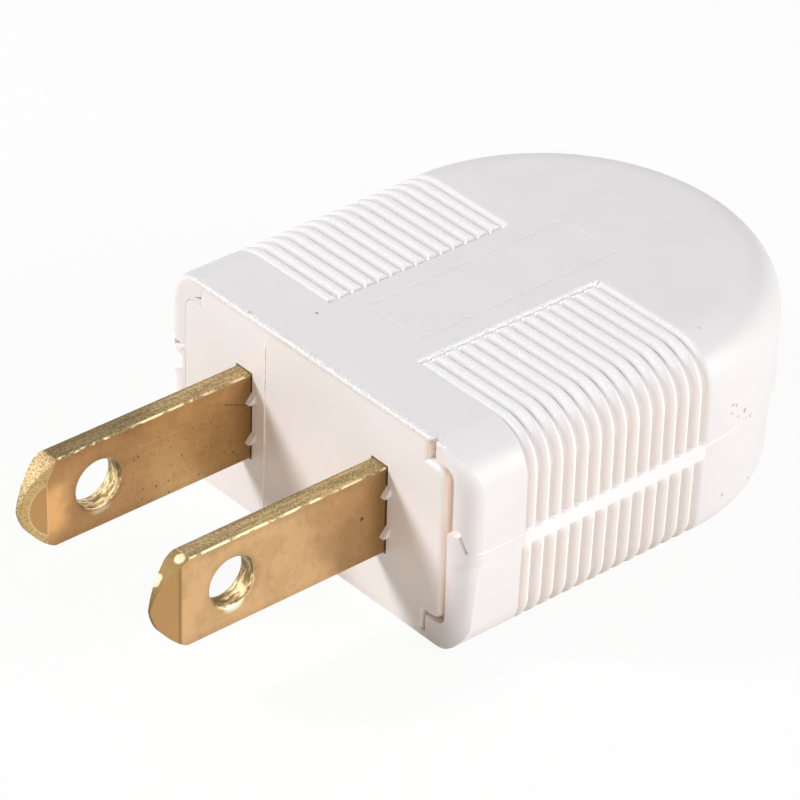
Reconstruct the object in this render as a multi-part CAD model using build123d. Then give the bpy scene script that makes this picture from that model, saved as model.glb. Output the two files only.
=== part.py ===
"""Flat two-pin rewirable plug, built as an assembly of separate pieces.

Millimetres, +Z up. The origin is the middle of the plug face, half way between the
blades. The blades point along -Y, the cord inlet opens along +Y, and +X is to the right
as seen from the face with the plug lying on its flat side.
"""
import os
from math import atan2, cos, hypot, pi, radians, sin, tan

from build123d import *

# Housing: straight sides, semicircular rear, two shells that meet at a seam
body_width = 28.4
body_length = 33.6
body_height = 14.3
seam_z = 0.3
side_wall = 1.7
roof = 1.65
top_edge_radius = 3.2
bottom_edge_radius = 2.0
front_corner_radius = 1.5
front_edge_radius = 0.12
rounding_steps = 5
seam_edge_radius = 0.2

# Lower shell: rim band under the seam, then a drafted wall
band_height = 1.0
band_step = 0.22
wall_draft = 1.5

# Finger ribs on both flanks of both shells
rib_count = 14
rib_pitch = 1.02
rib_start = 4.68
rib_depth = 0.37
rib_land = 0.1
rib_runout = 0.64
rib_tip = 0.5
strip_width = 8.4
strip_edge = 0.18

# Shallow blank frame moulded on the strip
frame_width = 5.0
frame_start = 6.2
frame_end = 22.4
frame_line = 0.25
frame_depth = 0.03

# Rim that keys the two shells together
rim_inset = 0.9
rim_height = 1.05
rim_clearance = 0.1
rim_headroom = 0.5
rim_root = 0.6

# Pry notch on the seam at the left front corner
notch_depth = 0.65
notch_bottom = 0.1
notch_top = 1.0
notch_slope = 0.7

# Slanted seam end beside the plate on the right
seam_slant = 0.45
slant_gap = 0.12
slant_depth = 0.8

# Front plate: stepped face, flange caught in a groove of the shells, blade sleeves
column_upper = 1.25
column_lower = 1.43
crevice_upper = 0.85
crevice_left = 0.03
relief_width = 0.65
relief_height = 0.3
slot_width = 0.5
slot_reach = 0.45
shoulder_upper = 1.3
shoulder_lower = 1.65
shoulder_gap_upper = 0.35
shoulder_gap_lower = 0.12
tongue_half = 10.55
tongue_gap_upper = 0.75
tongue_gap_lower = 0.3
front_lip = 0.4
plate_corner = 0.75
face_thickness = 0.6
flange_thickness = 1.2
flange_cover = 0.75
flange_reach = 0.5
flange_corner = 1.0
flange_clearance = 0.1
sleeve_length = 2.2
sleeve_wall = 1.0
panel_width = 8.8
panel_depth = 0.06
panel_gap = 0.1
face_edge = 0.35
nib_rise = 0.6
nib_width = 0.4
nib_height = 0.5
nib_spread = 1.45

# Blades and their terminals
blade_spacing = 12.7
blade_width = 6.2
blade_thickness = 1.4
blade_reach = 17.25
nose_length = 2.5
nose_bow = 0.5
coin_length = 1.75
coin_nose = 0.2
blade_hole = 3.2
blade_hole_reach = 11.65
hole_rim = 0.3
blade_edge = 0.1
slot_clearance = 0.08
stop_height = 0.7
stop_width = 4.0
stop_thickness = 1.4
tab_z = 1.6
tab_length = 6.2
tab_clearance = 0.35
bend_radius = 0.5

# Fasteners
terminal_head_height = 1.7
terminal_headroom = 0.5
washer_wall = 0.8
washer_margin = 0.1
washer_thickness = 0.7
washer_corner = 0.6
thread_clearance = 0.03
hole_clearance = 0.2
pilot_cover = 0.3
tip_gap = 0.15
housing_screw = 3.0
housing_head = 5.6
housing_head_height = 2.1
housing_recess = 0.7
housing_y = 15.2
boss_wall = 1.5
well_wall = 1.2
well_roof = 1.4
clamp_screw = 2.4
clamp_head = 4.2
clamp_head_height = 1.4
clamp_length = 7.0
clamp_boss_wall = 1.1
drive_slot = 0.7
drive_depth = 0.6

# Cord inlet and clamp
inlet_diameter = 7.0
inlet_flare = 0.6
clamp_to_rear = 8.2
clamp_span = 13.4
clamp_bar_depth = 4.2
clamp_bar_height = 2.6
clamp_overhang = 0.2
clamp_floor_gap = 0.5
arch_bite = 0.9
saddle_depth = 2.2
saddle_thickness = 2.0

# How far raw cutters and blanks run past the faces they trim
overrun = 1.0
graze = 0.006
root = 0.2

# Values that follow from the sizes above
half_width = body_width / 2
top_z = body_height / 2
bottom_z = -top_z
rear_y = body_length - half_width
cavity_top = top_z - roof
cavity_bottom = bottom_z + roof
band_bottom = seam_z - band_height
lower_half = half_width - band_step
foot_half = lower_half - (band_bottom - bottom_z) * tan(radians(wall_draft))
strip_half = strip_width / 2
open_upper = half_width - column_upper
open_lower = lower_half - column_lower
plate_half = open_upper - crevice_upper
plate_top = top_z - shoulder_upper - shoulder_gap_upper
plate_bottom = bottom_z + shoulder_lower + shoulder_gap_lower
flange_half = lower_half - flange_cover
flange_top = cavity_top + flange_reach
flange_back = face_thickness + flange_thickness
cavity_front = flange_back + flange_clearance
sleeve_back = flange_back + sleeve_length
blade_x = blade_spacing / 2
blade_top = blade_width / 2
tab_inner = blade_x + blade_thickness / 2 + bend_radius
washer_size = half_width - side_wall - tab_clearance - tab_inner
terminal_x = tab_inner + washer_size / 2
terminal_screw = washer_size - 2 * washer_wall
terminal_head = washer_size - 2 * washer_margin
terminal_seat = tab_z + bend_radius - washer_thickness
terminal_length = cavity_top - terminal_headroom - terminal_seat
tab_front = sleeve_back + stop_height
terminal_y = tab_front + tab_length / 2
blade_back = tab_front + tab_length
boss_half = housing_screw / 2 + boss_wall
pilot_top = cavity_top - pilot_cover
housing_seat = bottom_z + housing_recess + housing_head_height
housing_length = pilot_top - tip_gap - housing_seat
clamp_x = clamp_span / 2
clamp_y = body_length - clamp_to_rear
clamp_boss = clamp_screw / 2 + clamp_boss_wall
clamp_low = cavity_bottom + clamp_floor_gap + clamp_head_height
clamp_seat_z = clamp_low + clamp_bar_height


def profile_xz(sketch, y_from, y_to):
    """Extrude a sketch drawn in X and Z along Y."""
    return extrude(Plane.XZ.offset(-y_from) * sketch, amount=-(y_to - y_from))


def block(x_from, x_to, y_from, y_to, z_from, z_to):
    """Return a box between two corners."""
    size = (x_to - x_from, y_to - y_from, z_to - z_from)
    middle = Pos((x_from + x_to) / 2, (y_from + y_to) / 2, (z_from + z_to) / 2)
    return middle * Box(*size)


def post(x, y, z_from, z_to, radius):
    """Return an upright cylinder."""
    return Pos(x, y, (z_from + z_to) / 2) * Cylinder(radius, z_to - z_from)


def d_plan(half, front_y, z):
    """Return the housing's plan: straight sides and a semicircular rear."""
    sides = Polyline((-half, rear_y), (-half, front_y), (half, front_y), (half, rear_y))
    rear = ThreePointArc((half, rear_y), (0, rear_y + half), (-half, rear_y))
    return Pos(0, 0, z) * make_face(sides + rear)


def d_prism(half, front_y, z_from, z_to):
    """Extrude the plan between two heights."""
    return extrude(d_plan(half, front_y, z_from), amount=z_to - z_from, dir=(0, 0, 1))


def both_sides(shape):
    """Return a shape with its mirror image on the other side of the plug."""
    return [shape, mirror(shape, about=Plane.YZ)]


def rim_edges(shape, z):
    """Return the side and rear edges at a height, without the front edge."""
    return [e for e in shape.edges() if abs(e.center().Z - z) < 1e-3 and e.center().Y > 1e-3]


def front_corners(half):
    """Return the cutters that round the upright front corners."""
    r = front_corner_radius
    corner = block(half - r, half + 1, -1, r, bottom_z - 1, top_z + 1)
    corner -= post(half - r, r, bottom_z - 2, top_z + 2, r)
    return both_sides(corner)


def rising_arc(valley, width):
    """Return the rounded flank that climbs from a valley to the flush surface."""
    radius = (width**2 + rib_depth**2) / (2 * rib_depth)
    start = atan2(radius - rib_depth, -width)
    middle = (start + pi / 2) / 2
    centre = (valley + width, -radius)
    halfway = (centre[0] + radius * cos(middle), centre[1] + radius * sin(middle))
    return ThreePointArc((valley, -rib_depth), halfway, (valley + width, 0))


def falling_arc(crest, width):
    """Return the rounded flank that drops from the flush surface to a valley."""
    radius = (width**2 + rib_depth**2) / (2 * rib_depth)
    end = atan2(radius - rib_depth, width)
    middle = (end + pi / 2) / 2
    centre = (crest, -radius)
    halfway = (centre[0] + radius * cos(middle), centre[1] + radius * sin(middle))
    return ThreePointArc((crest, 0), halfway, (crest + width, -rib_depth))


def rib_comb():
    """Return the comb outline whose teeth leave the rounded ribs standing."""
    flank = (rib_pitch - rib_land) / 2
    lift = 0.04
    above = 0.35
    edges = [Line((rib_start, above), (rib_start, -rib_depth))]
    for i in range(rib_count):
        valley = rib_start + i * rib_pitch
        crest = valley + flank
        edges.append(rising_arc(valley, flank))
        edges.append(Polyline((crest, 0), (crest, lift), (crest + rib_land, lift), (crest + rib_land, 0)))
        edges.append(falling_arc(crest + rib_land, flank))
    last = rib_start + rib_count * rib_pitch
    edges.append(rising_arc(last, rib_runout))
    edges.append(Polyline((last + rib_runout, 0), (last + rib_runout, above), (rib_start, above)))
    return make_face(Curve() + edges)


def rib_cutter(height, wide, side_x, side_z, edge_radius):
    """Sweep the comb over the flat face, round its edge and down the side wall.

    Args are for the right side, seen as if the flat face were on top.
    """
    path = FilletPolyline(
        (strip_half, 0, height), (wide, 0, height), (side_x, 0, side_z), radius=edge_radius
    )
    start = Plane(origin=(strip_half, 0, height), x_dir=(0, 1, 0), z_dir=(1, 0, 0))
    return sweep(start * rib_comb(), path=path)


def rib_tips():
    """Return the cutter that rounds the ribs' inner ends and breaks the strip's edge."""
    low = top_z - rib_depth
    radius = (rib_tip**2 + rib_depth**2) / (2 * rib_depth)
    start = atan2(radius - rib_depth, -rib_tip)
    middle = (start + pi / 2) / 2
    cx, cz = strip_half + rib_tip, top_z - radius
    halfway = (cx + radius * cos(middle), cz + radius * sin(middle))
    above = top_z + overrun
    outline = Curve() + [
        Polyline(
            (cx, top_z), (cx, above), (strip_half - strip_edge - overrun, above),
            (strip_half, top_z - strip_edge), (strip_half, low),
        ),
        ThreePointArc((strip_half, low), halfway, (cx, top_z)),
    ]
    return profile_xz(make_face(outline), rib_start, rib_start + rib_count * rib_pitch)


def stepped(half, low, high, tongue, tongue_low, tongue_high, corner):
    """Return a wide middle with a narrower tongue above and below, in X and Z."""
    middle = Pos(0, (low + high) / 2) * RectangleRounded(2 * half, high - low, corner)
    tongues = Pos(0, (tongue_low + tongue_high) / 2) * Rectangle(2 * tongue, tongue_high - tongue_low)
    return middle + tongues


def half_outline(side, half, low, high, tongue, corner):
    """Return one side of a stepped outline whose tongues run to the shells' lips."""
    outline = stepped(half, low, high, tongue, bottom_z + front_lip, top_z - front_lip, corner)
    return outline & Pos(side * half, 0) * Rectangle(2 * half, 2 * body_height)


def front_opening(upper):
    """Return the cutter for the plate's place: open on the right, close on the left."""
    half = open_upper if upper else open_lower
    gap = tongue_gap_upper if upper else tongue_gap_lower
    low, high = bottom_z + shoulder_lower, top_z - shoulder_upper
    face = half_outline(1, half, low, high, tongue_half + gap, plate_corner)
    room = crevice_left
    face += half_outline(
        -1, plate_half + room, plate_bottom - room, plate_top + room,
        tongue_half + room, plate_corner + room,
    )
    x = -tongue_half - room
    face += make_face(Polyline((x, high), (x - relief_width, high), (x, high + relief_height), (x, high)))
    room = flange_clearance
    groove = RectangleRounded(2 * (flange_half + room), 2 * (flange_top + room), flange_corner)
    return [profile_xz(face, -overrun, face_thickness), profile_xz(groove, face_thickness, cavity_front)]


def edge_waste(radius):
    """Return what lies outside a rounded edge: X runs back from the front, Y in from the surface."""
    far = radius - graze
    bow = far - radius * cos(pi / 4)
    outline = Curve() + [
        Polyline((-graze, far), (-overrun, far), (-overrun, -overrun), (far, -overrun), (far, -graze)),
        ThreePointArc((far, -graze), (bow, bow), (-graze, far)),
    ]
    return make_face(outline)


def front_rounding():
    """Return the cutters for the upper shell's front edge: full at the sides, slight on top."""
    x, z = half_width - top_edge_radius, top_z - top_edge_radius
    sections = []
    for step in range(rounding_steps + 1):
        share = step / rounding_steps
        turn = share * pi / 2
        ease = share * share * (3 - 2 * share)
        radius = front_corner_radius + (front_edge_radius - front_corner_radius) * ease
        spot = (x + top_edge_radius * cos(turn), 0, z + top_edge_radius * sin(turn))
        plane = Plane(origin=spot, x_dir=(0, 1, 0), z_dir=(-sin(turn), 0, cos(turn)))
        sections.append(plane * edge_waste(radius))
    side = extrude(sections[0], amount=z - seam_z + overrun, dir=(0, 0, -1))
    brow = extrude(sections[-1], amount=x, dir=(-1, 0, 0))
    return [part for cut in (side, loft(sections), brow) for part in both_sides(cut)]


def pry_notch():
    """Return the cutter for the notch across the left front corner, its floor falling to the side."""
    lean = cos(pi / 4)
    inset = front_corner_radius * (1 - lean) + notch_depth * lean
    reach = inset / lean
    plane = Plane(origin=(inset - half_width, inset, 0), x_dir=(-lean, lean, 0), z_dir=(lean, lean, 0))
    low, high = notch_bottom + overrun * notch_slope, notch_bottom - (2 * reach + overrun) * notch_slope
    corners = [(-reach - overrun, low), (-reach - overrun, notch_top), (reach + overrun, notch_top)]
    face = make_face(Polyline(*corners, (reach + overrun, high), corners[0]))
    return extrude(plane * face, amount=2 * front_corner_radius, dir=(-lean, -lean, 0))


def lip_slot():
    """Return the cutter for the slot through the upper lip beside the tongue."""
    half = slot_width / 2
    x, y = tongue_half + tongue_gap_upper - half, slot_reach - half
    low, high = top_z - front_lip - root, top_z + overrun
    return [block(x - half, x + half, -overrun, y, low, high), post(x, y, low, high, half)]


def seam_end(inner, outer, slant, low, high):
    """Return the slanted end of the seam at the right front corner."""
    corners = [(inner, low), (inner, high), (outer, high), (outer + slant, seam_z), (outer + slant, low)]
    return make_face(Polyline(*corners, corners[0]))


def inlet_cutter():
    """Return the flared round hole for the cord, on the seam at the rear."""
    r = inlet_diameter / 2
    hole = Plane((0, rear_y, seam_z), x_dir=(1, 0, 0), z_dir=(0, 1, 0))
    bore = hole * extrude(Circle(r), amount=half_width + overrun)
    flare = Plane((0, body_length - inlet_flare, seam_z), x_dir=(1, 0, 0), z_dir=(0, 1, 0))
    past = inlet_flare + overrun / 2
    mouth = flare * loft([Circle(r), Pos(0, 0, past) * Circle(r + past)])
    return [bore, mouth]


def pan_screw(x, y, seat_z, shank, head, head_height, length):
    """Return a slotted pan-head screw whose head hangs under its seat."""
    low = seat_z - head_height
    top = post(x, y, low, seat_z, head / 2)
    top = chamfer(top.edges().group_by(Axis.Z)[0], head_height * 0.35)
    body = post(x, y, seat_z, seat_z + length, shank / 2)
    body = chamfer(body.edges().group_by(Axis.Z)[-1], shank * 0.15)
    half = drive_slot / 2
    slot = block(x - half, x + half, y - head, y + head, low - overrun, low + drive_depth)
    return top + body - slot


def make_upper_shell():
    """Return the upper shell: ribbed outside, cavity, screw bosses, blade stops."""
    shell = d_prism(half_width, 0, seam_z, top_z)
    shell = fillet(rim_edges(shell, top_z), top_edge_radius)
    shell -= front_rounding()
    shell -= d_prism(half_width - side_wall, cavity_front, seam_z - overrun, cavity_top)
    rim_half = half_width - rim_inset + rim_clearance
    rebate_top = seam_z + rim_height + rim_headroom
    shell -= d_prism(rim_half, -overrun, seam_z - overrun, rebate_top)
    shell -= front_opening(True)
    shell -= lip_slot()
    shell -= pry_notch()
    slant = seam_end(rim_half - overrun, rim_half, seam_slant, seam_z - overrun, rebate_top)
    shell -= profile_xz(slant, -overrun, slant_depth)
    shell -= both_sides(rib_cutter(top_z, half_width, half_width, seam_z - overrun, top_edge_radius))
    shell -= both_sides(rib_tips())
    roots = cavity_top + root
    shell += post(0, housing_y, seam_z, roots, boss_half)
    shell -= post(0, housing_y, seam_z - overrun, pilot_top, housing_screw / 2 + thread_clearance)
    half = saddle_thickness / 2
    saddle = block(-clamp_x, clamp_x, clamp_y - half, clamp_y + half, cavity_top - saddle_depth, roots)
    cord = Pos(0, clamp_y, seam_z) * Rot(90, 0, 0) * Cylinder(inlet_diameter / 2, 2 * saddle_thickness)
    shell += saddle - cord
    for side in (-1, 1):
        x = side * clamp_x
        shell += post(x, clamp_y, clamp_seat_z, roots, clamp_boss)
        shell -= post(x, clamp_y, clamp_seat_z - overrun, pilot_top, clamp_screw / 2 + thread_clearance)
        near, far = side * blade_x - stop_width / 2, side * blade_x + stop_width / 2
        shell += block(near, far, blade_back, blade_back + stop_thickness, seam_z, roots)
    shell -= inlet_cutter()
    line = frame_line
    length = frame_end - frame_start
    outline = Rectangle(frame_width, length) - Rectangle(frame_width - 2 * line, length - 2 * line)
    middle = Pos(0, (frame_start + frame_end) / 2, top_z - frame_depth)
    shell -= middle * extrude(outline, amount=overrun)
    return shell


def make_lower_shell():
    """Return the lower shell: rim band, drafted ribbed wall, rim, screw well."""
    ahead = -2 * bottom_edge_radius
    wall = loft([d_plan(lower_half, ahead, band_bottom), d_plan(foot_half, ahead, bottom_z)], ruled=True)
    wall = fillet(rim_edges(wall, bottom_z), bottom_edge_radius)
    band = d_prism(half_width, ahead, band_bottom, seam_z)
    band = fillet(rim_edges(band, seam_z), seam_edge_radius)
    wide = half_width + overrun
    front = block(-wide, wide, ahead - overrun, 0, bottom_z - overrun, seam_z + overrun)
    shell = wall - front - front_corners(lower_half)
    shell += band - front - front_corners(half_width)
    rim_low, rim_high = seam_z - rim_root, seam_z + rim_height
    rim = d_prism(half_width - rim_inset, 0, rim_low, rim_high)
    outer = half_width - rim_inset
    tip = seam_end(outer - rim_inset, outer, seam_slant - slant_gap, rim_low, rim_high)
    rim += profile_xz(tip, 0, slant_depth - slant_gap)
    shell += rim - front_corners(half_width)
    shell -= d_prism(half_width - side_wall, cavity_front, cavity_bottom, top_z)
    shell -= front_opening(False)
    shell -= pry_notch()
    ribs = rib_cutter(-bottom_z, foot_half, lower_half, -band_bottom, bottom_edge_radius)
    shell -= both_sides(mirror(ribs, about=Plane.XY))
    roots = cavity_bottom - root
    well = housing_head / 2 + hole_clearance
    shell += post(0, housing_y, roots, housing_seat + well_roof, well + well_wall)
    shell += post(0, housing_y, roots, seam_z, boss_half)
    shell -= post(0, housing_y, bottom_z - overrun, housing_seat, well)
    shell -= post(0, housing_y, bottom_z - overrun, seam_z + overrun, housing_screw / 2 + hole_clearance)
    shell -= inlet_cutter()
    return shell


def make_front_plate():
    """Return the blade carrier: stepped face, flange, blade sleeves, nibs."""
    face = stepped(
        plate_half, plate_bottom, plate_top,
        tongue_half, bottom_z + front_lip, top_z - front_lip, plate_corner,
    )
    plate = profile_xz(face, 0, face_thickness)
    front = plate.faces().sort_by(Axis.Y)[0]
    lips = top_z - front_lip
    right = [e for e in front.edges() if e.center().X > plate_half / 2]
    plate = fillet([e for e in right if abs(e.center().Z) < lips - 1e-3], face_edge)
    flange = RectangleRounded(2 * flange_half, 2 * flange_top, flange_corner)
    plate += profile_xz(flange, face_thickness, flange_back)
    wide = blade_thickness / 2 + slot_clearance
    tall = blade_top + slot_clearance
    panel_top = top_z - shoulder_upper - panel_gap
    plate -= block(-panel_width / 2, panel_width / 2, -overrun, panel_depth, bottom_z, panel_top)
    for x in (-blade_x, blade_x):
        outer = (wide + sleeve_wall, tall + sleeve_wall)
        plate += block(x - outer[0], x + outer[0], flange_back, sleeve_back, -outer[1], outer[1])
        plate -= block(x - wide, x + wide, -overrun, sleeve_back + overrun, -tall, tall)
        for z in (-nib_spread, nib_spread):
            low, high = z - nib_rise / 2, z + nib_rise / 2
            fin = make_face(Polyline((root, low), (-nib_height, low), (0, high), (root, high), (root, low)))
            plate += Plane.YZ.offset(x + blade_thickness / 2) * extrude(fin, amount=nib_width)
    return plate


def make_blade():
    """Return the right blade: coined nose, hole, stop shoulders, folded terminal tab."""
    y_nose, y_side = -blade_reach, nose_length - blade_reach
    chord = hypot(nose_length, blade_top)
    y_bow = (y_nose + y_side) / 2 - nose_bow * blade_top / chord
    z_bow = blade_top / 2 + nose_bow * nose_length / chord
    outline = Curve() + [
        ThreePointArc((y_side, -blade_top), (y_bow, -z_bow), (y_nose, 0)),
        ThreePointArc((y_nose, 0), (y_bow, z_bow), (y_side, blade_top)),
        Polyline(
            (y_side, blade_top), (sleeve_back, blade_top),
            (sleeve_back, blade_top + stop_height), (tab_front, blade_top + stop_height),
            (tab_front, tab_z), (blade_back, tab_z), (blade_back, -blade_top),
            (tab_front, -blade_top), (tab_front, -blade_top - stop_height),
            (sleeve_back, -blade_top - stop_height), (sleeve_back, -blade_top),
            (y_side, -blade_top),
        ),
    ]
    half = blade_thickness / 2
    strip = Plane.YZ.offset(-half) * extrude(make_face(outline), amount=blade_thickness)
    long_edges = [e for e in strip.edges().filter_by(Axis.Y) if e.center().Y < 0]
    strip = chamfer(long_edges, blade_edge)
    coin_start = coin_length - blade_reach
    beyond = half + overrun
    far = coin_start - coin_length - overrun
    depth = (half - coin_nose / 2) * (coin_start - far) / coin_length
    wedge = make_face(Polyline((half, coin_start), (beyond, coin_start), (beyond, far),
                               (half - depth, far), (half, coin_start)))
    coin = extrude(Pos(0, 0, -blade_width) * wedge, amount=2 * blade_width, dir=(0, 0, 1))
    strip -= both_sides(coin)
    hole = Pos(0, -blade_hole_reach, 0) * Rot(0, 90, 0) * Cylinder(blade_hole / 2, 3 * blade_thickness)
    strip -= hole
    rims = [e for e in strip.edges().filter_by(GeomType.CIRCLE) if abs(e.radius - blade_hole / 2) < 1e-4]
    strip = fillet(rims, hole_rim)
    outer = bend_radius + blade_thickness
    bend = Circle(outer) - Circle(bend_radius)
    bend &= Pos(-outer / 2, outer / 2) * Rectangle(outer, outer)
    flat = Pos(washer_size / 2, bend_radius + half) * Rectangle(washer_size, blade_thickness)
    fold = Pos(half + bend_radius, tab_z) * (bend + flat)
    tab = profile_xz(fold, tab_front, blade_back)
    tapped = terminal_screw / 2 + thread_clearance
    tab -= post(terminal_x - blade_x, terminal_y, tab_z - overrun, top_z, tapped)
    return Pos(blade_x, 0, 0) * (strip + tab)


def make_washer():
    """Return the square clamp washer under the right terminal screw."""
    plate = Box(washer_size, washer_size, washer_thickness)
    plate = fillet(plate.edges().filter_by(Axis.Z), washer_corner)
    plate -= Cylinder(terminal_screw / 2 + hole_clearance, 2 * washer_thickness)
    return Pos(terminal_x, terminal_y, terminal_seat + washer_thickness / 2) * plate


def make_cord_clamp():
    """Return the clamp bar with an arch for the cord and two screw holes."""
    length = clamp_span + 2 * (clamp_boss + clamp_overhang)
    bar = Pos(0, clamp_y, (clamp_low + clamp_seat_z) / 2)
    bar *= extrude(SlotOverall(length, clamp_bar_depth), amount=clamp_bar_height / 2, both=True)
    for x in (-clamp_x, clamp_x):
        passing = clamp_screw / 2 + hole_clearance
        bar -= post(x, clamp_y, clamp_low - overrun, clamp_seat_z + overrun, passing)
    arch = inlet_diameter / 2
    cord = Pos(0, clamp_y, clamp_seat_z + arch - arch_bite) * Rot(90, 0, 0)
    bar -= cord * Cylinder(arch, 2 * clamp_bar_depth)
    return bar


def make_terminal_screw():
    """Return the right terminal screw, driven up through the washer into the tab."""
    return pan_screw(
        terminal_x, terminal_y, terminal_seat,
        terminal_screw, terminal_head, terminal_head_height, terminal_length,
    )


def make_clamp_screw(x):
    """Return one clamp screw."""
    return pan_screw(x, clamp_y, clamp_low, clamp_screw, clamp_head, clamp_head_height, clamp_length)


def make_housing_screw():
    """Return the screw that draws the two shells together from below."""
    return pan_screw(
        0, housing_y, housing_seat,
        housing_screw, housing_head, housing_head_height, housing_length,
    )


def main():
    """Build every piece and write one file for each."""
    blade = make_blade()
    washer = make_washer()
    screw = make_terminal_screw()
    pieces = {
        "upper_shell": make_upper_shell(),
        "lower_shell": make_lower_shell(),
        "front_plate": make_front_plate(),
        "right_blade": blade,
        "left_blade": mirror(blade, about=Plane.YZ),
        "right_terminal_washer": washer,
        "left_terminal_washer": mirror(washer, about=Plane.YZ),
        "right_terminal_screw": screw,
        "left_terminal_screw": mirror(screw, about=Plane.YZ),
        "cord_clamp": make_cord_clamp(),
        "right_clamp_screw": make_clamp_screw(clamp_x),
        "left_clamp_screw": make_clamp_screw(-clamp_x),
        "housing_screw": make_housing_screw(),
    }
    os.makedirs("parts", exist_ok=True)
    for name, shape in pieces.items():
        export_step(shape, os.path.join("parts", name + ".step"))


if __name__ == "__main__":
    main()
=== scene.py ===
"""Looks of the flat two-pin plug: finishes, fine pieces, studio light and camera."""
import logging
import math
from dataclasses import dataclass, field
from enum import Enum
from functools import reduce
from typing import Union

import bpy
from bpy.types import Material, Node, NodeTree, Object, Scene
from bpy.types import NodeSocket as Socket
from bpy.types import bpy_prop_collection as Exits
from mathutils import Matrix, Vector

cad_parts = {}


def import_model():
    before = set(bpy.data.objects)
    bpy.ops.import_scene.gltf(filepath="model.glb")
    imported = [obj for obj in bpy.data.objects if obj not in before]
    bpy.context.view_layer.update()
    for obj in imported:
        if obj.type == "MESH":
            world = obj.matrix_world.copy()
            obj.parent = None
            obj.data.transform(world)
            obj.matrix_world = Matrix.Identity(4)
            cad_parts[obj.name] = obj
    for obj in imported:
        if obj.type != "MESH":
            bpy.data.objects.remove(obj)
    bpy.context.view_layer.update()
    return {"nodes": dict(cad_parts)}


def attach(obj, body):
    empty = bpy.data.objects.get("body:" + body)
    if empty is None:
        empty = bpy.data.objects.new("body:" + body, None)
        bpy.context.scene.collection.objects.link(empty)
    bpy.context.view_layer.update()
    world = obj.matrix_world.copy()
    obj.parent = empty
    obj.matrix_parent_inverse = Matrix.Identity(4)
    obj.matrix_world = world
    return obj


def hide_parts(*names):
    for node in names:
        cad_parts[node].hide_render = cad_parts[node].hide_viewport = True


LOG = logging.getLogger("plug")
MM = 0.001
WHITE = (1.0, 1.0, 1.0)
EVEN = (1.0, 1.0, 1.0)
Triple = tuple[float, float, float]
# A span is two values, mostly those at which a mask is 0 and 1.
Span = tuple[float, float]
# A band is a lower limit, an upper limit and how soft both are.
Band = tuple[float, float, float]
Shades = tuple[Triple, Triple]
Box = tuple[Triple, Triple]
Source = Union[Socket, float, Triple]
Group = tuple["Sheet", dict[str, Socket], Node]


class Slot(Enum):
    """Material slots of the record for the pieces modelled here."""

    SCREW = "screw_steel"


class Side(Enum):
    """The two sides of the plug, as signs along X."""

    LEFT = -1
    RIGHT = 1


def both_sides(part: str, seat: Triple) -> dict[str, Triple]:
    """Give a part's seats on both sides of the plug, by node name, from the seat on the right."""
    x, y, z = seat
    return {f"{side.name.lower()}_{part}": (side.value * x, y, z) for side in Side}


def shade(tint: Triple, factor: float) -> Triple:
    """Give a colour made lighter or darker, with no channel over 1."""
    red, green, blue = (min(1.0, channel * factor) for channel in tint)
    return red, green, blue


def choose(*objects: Object) -> None:
    """Select nothing but the given objects and make the first one active.

    Args:
        objects: Objects to select, or none to clear the selection.
    """
    bpy.ops.object.select_all(action="DESELECT")
    for item in objects:
        item.select_set(True)
    if objects:
        bpy.context.view_layer.objects.active = objects[0]


def discard(item: Object) -> None:
    """Delete an object that has done its work."""
    choose(item)
    bpy.ops.object.delete()


def settled() -> Object:
    """Put the active object's place, turn and size into its mesh and give the object back."""
    bpy.ops.object.transform_apply(location=True, rotation=True, scale=True)
    return bpy.context.object


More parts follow.
